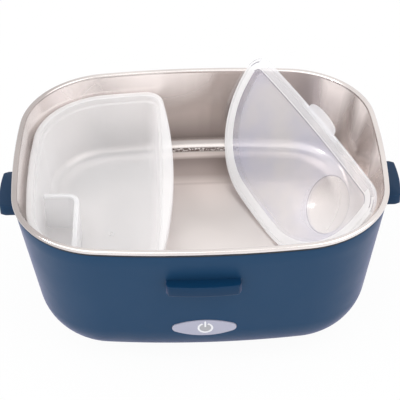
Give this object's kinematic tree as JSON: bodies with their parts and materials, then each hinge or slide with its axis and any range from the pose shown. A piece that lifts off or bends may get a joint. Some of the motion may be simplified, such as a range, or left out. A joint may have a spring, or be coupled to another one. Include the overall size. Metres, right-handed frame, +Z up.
{
  "type": "electric lunch box",
  "caption": "Heated lunch box: bowed rounded-rectangle casing with catches, lift-out steel tray, D-shaped food box and its leaning lid, front button, heater and rear inlet.",
  "frame": {"origin": "middle of the casing's plan, on the plane its feet stand on", "axes": "+X along the length, the front with the button faces -Y, +Z up"},
  "size_m": [0.252, 0.1952, 0.1223],
  "materials": {
    "casing_plastic": "navy blue moulded plastic, satin gloss",
    "liner_plastic": "dark grey heat-resistant plastic",
    "seal_rubber": "dark grey silicone",
    "plate_metal": "die-cast, brushed top",
    "screw_steel": "zinc-plated",
    "heater_case": "extruded case",
    "strip_steel": "pressed spring steel",
    "pad_fibre": "pressed fibre board",
    "dark_plastic": "black moulded plastic",
    "fuse_case": "metal case with tinned leads",
    "pale_plastic": "off-white moulded plastic",
    "pin_metal": "nickel-plated pins",
    "wire_brown": "brown wire sleeve",
    "wire_red": "red silicone wire sleeve",
    "wire_blue": "blue wire sleeve",
    "board_green": "green solder mask",
    "lens_clear": "clear moulded lens",
    "foot_rubber": "black rubber",
    "button_plastic": "pale lavender grey cap",
    "tray_steel": "drawn stainless steel, bright finish",
    "box_plastic": "translucent polypropylene",
    "lid_plastic": "clear polypropylene"
  },
  "bodies": {
    "base": {"outer_shell": "casing_plastic", "inner_well": "liner_plastic", "rim_seal": "seal_rubber", "heating_plate": "plate_metal", "plate_screws": "screw_steel", "heater_element": "heater_case", "heater_clamp": "strip_steel", "clamp_screws": "screw_steel", "insulation_pad": "pad_fibre", "thermostat": "dark_plastic", "thermostat_strap": "strip_steel", "strap_screws": "screw_steel", "thermal_fuse": "fuse_case", "fuse_clip": "strip_steel", "fuse_screw": "screw_steel", "terminal_block": "pale_plastic", "power_inlet": "dark_plastic", "inlet_pins": "pin_metal", "inlet_screws": "screw_steel", "inlet_wires": "wire_brown", "heater_wires": "wire_red", "board_wires": "wire_blue", "button_frame": "dark_plastic", "frame_screws": "screw_steel", "control_board": "board_green", "tact_switch": "dark_plastic", "status_led": "lens_clear", "board_screws": "screw_steel", "bottom_cover": "liner_plastic", "cover_screws": "screw_steel", "rubber_feet": "foot_rubber"},
    "button": {"power_button": "button_plastic"},
    "tray": {"steel_tray": "tray_steel"},
    "food_box": {"food_box": "box_plastic"},
    "box_lid": {"box_lid": "lid_plastic"}
  },
  "joints": [
    {"name": "button_press", "type": "slide", "parent": "base", "child": "button", "axis": [0, 0.9888, 0.1495], "range_m": [0, 0.0008], "stiffness_N_per_m": 800},
    {"name": "tray_lift", "type": "slide", "parent": "base", "child": "tray", "axis": [0, 0, 1], "range_m": [0, 0.11]},
    {"name": "food_box_lift", "type": "slide", "parent": "tray", "child": "food_box", "axis": [0, 0, 1], "range_m": [0, 0.075]},
    {"name": "box_lid_lift", "type": "slide", "parent": "tray", "child": "box_lid", "axis": [0, 0, 1], "range_m": [0, 0.075]}
  ]
}
